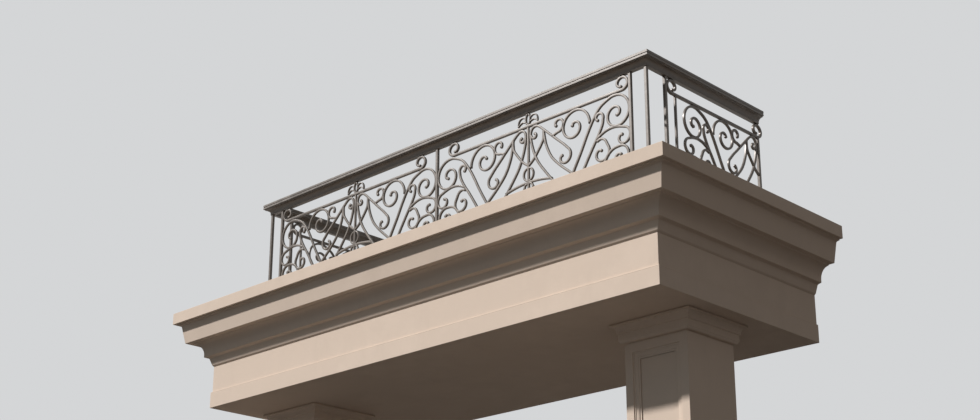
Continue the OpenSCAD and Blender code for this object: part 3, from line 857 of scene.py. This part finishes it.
class BALCONY_OT_courses(Operator):
    """Fascia, frieze, cornice and top band, each run in one length round the slab"""
    bl_idname = "balcony.courses"
    bl_label = "Courses"

    def execute(self, context):
        m = context.scene.balcony_mouldings
        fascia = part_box("fascia_front")
        half = fascia[1].x
        plan = three_sides(-half, half, fascia[0].y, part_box("fascia_left")[1].y, m.ease)
        for course, profile in self.profiles(m).items():
            run_round(course, "stucco", eased(profile, m.ease, lambda q: q[0] > AT_BED - m.bed), plan)
        return {"FINISHED"}

    def profiles(self, m):
        """Profiles of the four courses, at their real heights"""
        z0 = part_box("fascia_front")[0].z
        z1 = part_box("frieze_front")[0].z
        z2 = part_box("cornice_front")[0].z
        z3, z4 = (level.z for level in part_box("top_band_front"))
        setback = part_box("frieze_left")[0].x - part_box("fascia_left")[0].x
        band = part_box("fascia_front")[0].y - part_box("top_band_front")[0].y
        band_top = z2 + m.bed_band
        cove = band_top + m.fillet
        corona = cove + m.cove + m.corona_drop
        face = corona + m.corona_face
        leaning = m.corona_reach + m.corona_splay
        hollow = arc((m.corona_top_reach, face), m.corona_top_reach - leaning, z3 - m.small_step - face,
                     180, 90, steps=8)
        quirk = z1 - QUIRK_DOWN * m.joint
        sunk = -m.joint * QUIRK_DEPTH
        return {
            "fascia": [(-m.bed, z0), (0, z0), (0, quirk - m.joint), (sunk, quirk - QUIRK_BED[0] * m.joint),
                       (sunk, quirk - QUIRK_BED[1] * m.joint), (0, quirk), (0, z1), (-m.bed, z1)],
            "frieze": [(-m.bed, z1), (-setback, z1), (-setback, z2), (-m.bed, z2)],
            "cornice": [(-m.bed, z2), (-setback, z2), (0, z2 + m.splay), (m.bed_band_reach, band_top),
                        (m.fillet_reach - m.small_step, band_top + m.small_step),
                        (m.fillet_reach, band_top + m.small_step)]
                       + arc((m.cove_reach, cove), m.cove_reach - m.fillet_reach, m.cove, 180, 90, steps=12)
                       + [(m.cove_reach, corona), (m.corona_reach, corona)] + hollow
                       + [(m.corona_top_reach, z3), (-m.bed, z3)],
            "top_band": [(-m.bed, z3), (band, z3), (band, z4), (-m.bed, z4)],
        }


# A capital's mouldings: the tops of its ovolo, band, fillet and cyma as shares of its height, and how
# far they stand out as shares of its reach. Its shadow joints are in widths of a joint.
CAPITAL_TOPS = (0.17, 0.52, 0.64, 0.88)
OVOLO_START = 0.15
OVOLO_REACH = 0.22
BAND_OUT = 0.42
FILLET_OUT = 0.54
CYMA_REACH = 0.40
CYMA_OUT = 0.96
LOWER_JOINT = 1.5
UPPER_JOINT = 3
CORE_IN = 4


class BALCONY_OT_capitals(Operator):
    """Moulded capitals, with a shadow joint over and under each"""
    bl_idname = "balcony.capitals"
    bl_label = "Capitals"

    def execute(self, context):
        m = context.scene.balcony_mouldings
        for side in ENDS:
            low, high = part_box(f"capital_{side}")
            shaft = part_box(f"shaft_{side}")
            half = (shaft[1].x - shaft[0].x) / 2
            reach = (high.x - low.x) / 2 - half
            plan = rectangle((low.x + high.x) / 2, (low.y + high.y) / 2, half, half, m.ease)
            bm = bmesh.new()
            run_moulding(bm, eased(self.profile(low.z, high.z, reach, m.joint), m.ease), plan, upright)
            finish_piece(bm, f"run_capital_{side}", "stucco", (f"capital_{side}",))
        return {"FINISHED"}

    def profile(self, z0, z1, reach, joint):
        """From the bottom up: joint, ovolo, band, small fillet, cyma, top fillet and joint"""
        core = -CORE_IN * joint
        sunk = -LOWER_JOINT * joint
        neck = z0 + LOWER_JOINT * joint
        ovolo, band, fillet, cyma = [z0 + (z1 - z0) * top for top in CAPITAL_TOPS]
        return ([(core, z0), (sunk, z0), (sunk, neck)]
                + arc((reach * OVOLO_START, ovolo), reach * OVOLO_REACH, ovolo - neck, -90, 0, steps=8)
                + [(reach * BAND_OUT, ovolo), (reach * BAND_OUT, band),
                   (reach * FILLET_OUT, band), (reach * FILLET_OUT, fillet)]
                + arc((reach * CYMA_OUT, fillet), reach * CYMA_REACH, cyma - fillet, 180, 90, steps=10)
                + [(reach, cyma), (reach, z1 - joint), (reach - UPPER_JOINT * joint, z1 - joint),
                   (reach - UPPER_JOINT * joint, z1), (core, z1)])


# The moulding round a panel, as shares of its width and of its depth
PANEL_FILLET = 0.2
PANEL_HIGH = 0.75
PANEL_LOW = 0.25
PANEL_ROUND_WIDE = 0.55
PANEL_ROUND_DEEP = 0.35


class BALCONY_OT_panel_frames(Operator):
    """Mouldings round the sunk panels of the shafts, front and back"""
    bl_idname = "balcony.panel_frames"
    bl_label = "Panel frames"

    def execute(self, context):
        m = context.scene.balcony_mouldings
        for side in ENDS:
            low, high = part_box(f"panel_moulding_{side}")
            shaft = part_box(f"shaft_{side}")
            middle_x = (low.x + high.x) / 2
            middle_z = (low.z + high.z) / 2
            plan = rectangle(0, 0, (high.x - low.x) / 2, (high.z - low.z) / 2, 0)
            bm = bmesh.new()
            for face, out in ((shaft[0].y, -1), (shaft[1].y, 1)):
                def place(u, v, rise):
                    return Vector((middle_x + u, face + out * (rise - m.panel_depth), middle_z + v))
                run_moulding(bm, eased(self.profile(m.panel_mould, m.panel_depth), m.ease / 2,
                                       lambda q: q[1] > 0), plan, place)
            finish_piece(bm, f"run_panel_moulding_{side}", "stucco", (f"panel_moulding_{side}",))
        return {"FINISHED"}

    def profile(self, wide, deep):
        """Reach is negative, inwards from the panel's edge; height is out of the panel's bed"""
        fillet = -wide * PANEL_FILLET
        high = deep * PANEL_HIGH
        low = deep * PANEL_LOW
        return ([(0, 0), (0, high), (fillet, high)]
                + arc((fillet, low), -wide * PANEL_ROUND_WIDE, deep * PANEL_ROUND_DEEP, 90, 0, steps=8)
                + [(-wide, low), (-wide, 0)])


class BALCONY_OT_deck(Operator):
    """Screed on the deck slab and the beams under it"""
    bl_idname = "balcony.deck"
    bl_label = "Deck and beams"

    def execute(self, context):
        dress("concrete", 0.0)
        return {"FINISHED"}


class BALCONY_OT_rails(Operator):
    """Paint and softened edges on the posts and bottom bars"""
    bl_idname = "balcony.rails"
    bl_label = "Posts and bottom bars"

    def execute(self, context):
        dress("iron", context.scene.balcony_finish.iron_arris, ("posts", "bottom_bar"))
        return {"FINISHED"}


# The handrail's section: the groove's middle under the top as a share of the cap's height, and the
# rest in depths of the groove
GROOVE_DOWN = 0.58
GROOVE_MOUTH = 0.9
GROOVE_FLOOR = 0.7
RAIL_FILLET_IN = 2.5
RAIL_FILLET_HEIGHT = 1.7
RAIL_TOP_EASE = 1.2


class BALCONY_OT_handrail(Operator):
    """Moulded handrail, run in one length round the three sides"""
    bl_idname = "balcony.handrail"
    bl_label = "Handrail"

    def execute(self, context):
        ironwork = context.scene.balcony_ironwork
        front, left, right = [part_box(f"handrail_{side}") for side in SIDES]
        edge = ironwork.edge_round / 2
        plan = three_sides((left[0].x + left[1].x) / 2, (right[0].x + right[1].x) / 2,
                           (front[0].y + front[1].y) / 2, left[1].y, edge)
        profile = self.profile(ironwork, front[0].z, front[1].z)
        run_round("handrail", "iron", eased(profile, edge), plan)
        return {"FINISHED"}

    def profile(self, ironwork, z0, z1):
        """From the underside up one side and down the other: upright foot, cove, fillet and grooved cap"""
        half = ironwork.rail_half
        cap = z1 - ironwork.rail_cap
        groove = z1 - GROOVE_DOWN * ironwork.rail_cap
        deep = ironwork.rail_groove
        fillet = half - RAIL_FILLET_IN * deep
        foot = ironwork.rail_foot
        bead = z0 + ironwork.rail_bead
        cove = cap - RAIL_FILLET_HEIGHT * deep
        side = ([(foot, z0)]
                + arc((fillet - deep, bead), fillet - deep - foot, cove - bead, 180, 90, steps=10)
                + [(fillet, cove), (fillet, cap), (half, cap),
                   (half, groove - GROOVE_MOUTH * deep), (half - deep, groove - GROOVE_FLOOR * deep),
                   (half - deep, groove + GROOVE_FLOOR * deep), (half, groove + GROOVE_MOUTH * deep),
                   (half, z1 - deep), (half - RAIL_TOP_EASE * deep, z1)])
        return side + [(-reach, z) for reach, z in reversed(side)]


class BALCONY_OT_scrollwork(Operator):
    """Forged scroll panels of the two front bays and of both returns"""
    bl_idname = "balcony.scrollwork"
    bl_label = "Scrollwork"

    def execute(self, context):
        ironwork = context.scene.balcony_ironwork
        width = ironwork.scroll_width
        z0, z1, _ = panel_levels()
        for side in ENDS:
            node = f"scrolls_front_{side}"
            low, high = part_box(node)
            depth = high.y - low.y
            half = (high.x - low.x) / 2
            forge = Forge(front_plane((low.x + high.x) / 2, (low.y + high.y) / 2))
            for hand in (-1, 1):
                half_bay(forge, half, z0, z1, hand, width, depth)
            middle_bar(forge, half, z0, z1, width, depth)
            forge.piece(node)
        for side in ENDS:
            node = f"scrolls_{side}"
            low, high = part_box(node)
            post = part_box(f"posts_{side}")
            depth = high.x - low.x
            start = post[1].y - (post[1].x - post[0].x) / 2
            forge = Forge(return_plane((low.x + high.x) / 2, start))
            half_bay(forge, ironwork.return_pattern, z0, z1, 1, width, depth)
            last_bar = start - low.y - width / 2
            forge.bar([Vector((last_bar, z0)), Vector((last_bar, z1))], width, depth * UPRIGHT_DEPTH)
            forge.piece(node)
        return {"FINISHED"}


class BALCONY_OT_top_bars(Operator):
    """Top bars that curl up to the handrail, with the crest over each front bay"""
    bl_idname = "balcony.top_bars"
    bl_label = "Top bars and crests"

    def execute(self, context):
        ironwork = context.scene.balcony_ironwork
        rail_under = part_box("handrail_front")[0].z
        _, level, bar = panel_levels()
        for side in ENDS:
            node = f"top_bar_front_{side}"
            low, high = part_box(node)
            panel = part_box(f"scrolls_front_{side}")
            forge = Forge(front_plane(0, (low.y + high.y) / 2))
            top_bar(forge, low.x, high.x, level, rail_under, bar, ironwork.scroll_width)
            crest(forge, (panel[0].x + panel[1].x) / 2, level, rail_under, bar, ironwork)
            forge.piece(node)
        for side in ENDS:
            node = f"top_bar_{side}"
            low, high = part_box(node)
            forge = Forge(return_plane((low.x + high.x) / 2, high.y))
            top_bar(forge, 0.0, high.y - low.y, level, rail_under, bar, ironwork.scroll_width)
            forge.piece(node)
        return {"FINISHED"}


class BALCONY_OT_feet(Operator):
    """Bolted foot plates under the railing's posts"""
    bl_idname = "balcony.feet"
    bl_label = "Post feet"

    def execute(self, context):
        ironwork = context.scene.balcony_ironwork
        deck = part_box("deck_slab")[1].z
        for side in SIDES:
            node = f"posts_{side}"
            low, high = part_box(node)
            post = min(high.x - low.x, high.y - low.y)
            bm = bmesh.new()
            for x, y in post_places(node):
                foot_plate(bm, x, y, deck, ironwork, post)
            finish_piece(bm, f"post_feet_{side}", "iron")
        return {"FINISHED"}


CAMERA_PLACE = (8.258, -8.418, 0.171)
CAMERA_TILT = 108.158
CAMERA_TURN = 43.9875
CAMERA_LENS = 54.68
CAMERA_SENSOR = 36.0
CAMERA_SHIFT = 0.081
CAMERA_REACH = 400.0
KEY_FROM = (-0.56, -0.56, 0.62)
KEY_COLOUR = (1.0, 0.974, 0.965)
KEY_SPREAD = 2.5
FILL_AXIS = (0.7, 0.7, 0.0)
FILL_FRONT = (0.80, 0.92, 1.0, 1.0)
FILL_BACK = (0.76, 0.71, 0.68, 1.0)
FLOOR_CELLS = 6


class BALCONY_OT_stage(Operator):
    """Camera, soft light, pale floor and backdrop"""
    bl_idname = "balcony.stage"
    bl_label = "Stage"

    def execute(self, context):
        stage = context.scene.balcony_stage
        self.add_camera(context.scene)
        self.add_key(context.scene, stage)
        self.add_floor(context.scene, stage)
        self.add_world(context.scene, stage)
        context.scene.view_settings.view_transform = "Standard"
        return {"FINISHED"}

    def add_camera(self, scene):
        """The viewpoint: low, in front of the right-hand corner, looking up"""
        data = bpy.data.cameras.new("camera")
        data.sensor_width = CAMERA_SENSOR
        data.lens = CAMERA_LENS
        data.shift_y = CAMERA_SHIFT
        data.clip_end = CAMERA_REACH
        camera = bpy.data.objects.new("camera", data)
        camera.location = CAMERA_PLACE
        camera.rotation_euler = (math.radians(CAMERA_TILT), 0.0, math.radians(CAMERA_TURN))
        scene.collection.objects.link(camera)
        scene.camera = camera

    def add_key(self, scene, stage):
        """A soft light from the front left, above the railing"""
        data = bpy.data.lights.new("key", "SUN")
        data.energy = stage.key
        data.angle = math.radians(KEY_SPREAD)
        data.color = KEY_COLOUR
        key = bpy.data.objects.new("key", data)
        key.rotation_euler = Vector(KEY_FROM).to_track_quat("Z", "Y").to_euler()
        scene.collection.objects.link(key)

    def add_floor(self, scene, stage):
        """A wide level floor, pale wherever it shows"""
        bm = bmesh.new()
        bmesh.ops.create_grid(bm, x_segments=FLOOR_CELLS, y_segments=FLOOR_CELLS, size=stage.floor_side / 2)
        mesh = bpy.data.meshes.new("floor")
        bm.to_mesh(mesh)
        bm.free()
        material, sheet = finish_sheet("floor_finish")
        cloud = sheet.noise(sheet.position(), scale=0.5)
        tint = sheet.blend(sheet.band(cloud, 0.3, 0.7), opaque(stage.floor), opaque(stage.floor, 0.97))
        cast = sheet.blend(sheet.backdrop_rays(), opaque(stage.bounce), tint)
        sheet.surface(sheet.node("ShaderNodeBsdfPrincipled", {}, {"Base Color": cast, "Roughness": 0.9}))
        mesh.materials.append(material)
        floor = bpy.data.objects.new("floor", mesh)
        scene.collection.objects.link(floor)

    def add_world(self, scene, stage):
        """Soft fill, cool from the front left and warm from the back right, behind a pale backdrop"""
        world = bpy.data.worlds.new("backdrop")
        world.use_nodes = True
        scene.world = world
        sheet = Sheet(world.node_tree)
        across = sheet.node("ShaderNodeVectorMath", {"operation": "DOT_PRODUCT"},
                            {0: sheet.position(), 1: FILL_AXIS}, "Value")
        tint = sheet.blend(sheet.band(across, -0.6, 0.6), FILL_FRONT, FILL_BACK)
        lit = sheet.node("ShaderNodeBackground", {}, {"Color": tint, "Strength": stage.fill})
        shown = sheet.node("ShaderNodeBackground", {}, {"Color": opaque(stage.backdrop), "Strength": 1.0})
        both = sheet.node("ShaderNodeMixShader", {}, {0: sheet.backdrop_rays(), 1: lit, 2: shown})
        sheet.surface(both, "ShaderNodeOutputWorld")


STEPS = (BALCONY_OT_stage, BALCONY_OT_stonework, BALCONY_OT_courses, BALCONY_OT_capitals,
         BALCONY_OT_panel_frames, BALCONY_OT_deck, BALCONY_OT_rails, BALCONY_OT_handrail,
         BALCONY_OT_scrollwork, BALCONY_OT_top_bars, BALCONY_OT_feet)


class BALCONY_PT_panel(Panel):
    """The balcony's steps and settings in the sidebar"""
    bl_idname = "BALCONY_PT_panel"
    bl_label = "Balcony"
    bl_space_type = "VIEW_3D"
    bl_region_type = "UI"
    bl_category = "Balcony"

    def draw(self, context):
        for step in STEPS:
            self.layout.operator(step.bl_idname)
        for group in SETTINGS:
            box = self.layout.box()
            settings = getattr(context.scene, group)
            for name in settings.bl_rna.properties.keys():
                if name not in ("rna_type", "name"):
                    box.prop(settings, name)


SETTINGS = {"balcony_mouldings": BALCONY_PG_mouldings, "balcony_ironwork": BALCONY_PG_ironwork,
            "balcony_finish": BALCONY_PG_finish, "balcony_stage": BALCONY_PG_stage}
CLASSES = (*SETTINGS.values(), *STEPS, BALCONY_PT_panel)


def register():
    for made in CLASSES:
        bpy.utils.register_class(made)
    for name, group in SETTINGS.items():
        setattr(bpy.types.Scene, name, PointerProperty(type=group))


def unregister():
    for name in SETTINGS:
        delattr(bpy.types.Scene, name)
    for made in reversed(CLASSES):
        bpy.utils.unregister_class(made)


def main():
    register()
    for step in STEPS:
        group, call = step.bl_idname.split(".")
        getattr(getattr(bpy.ops, group), call)()


if __name__ == "__main__":
    main()
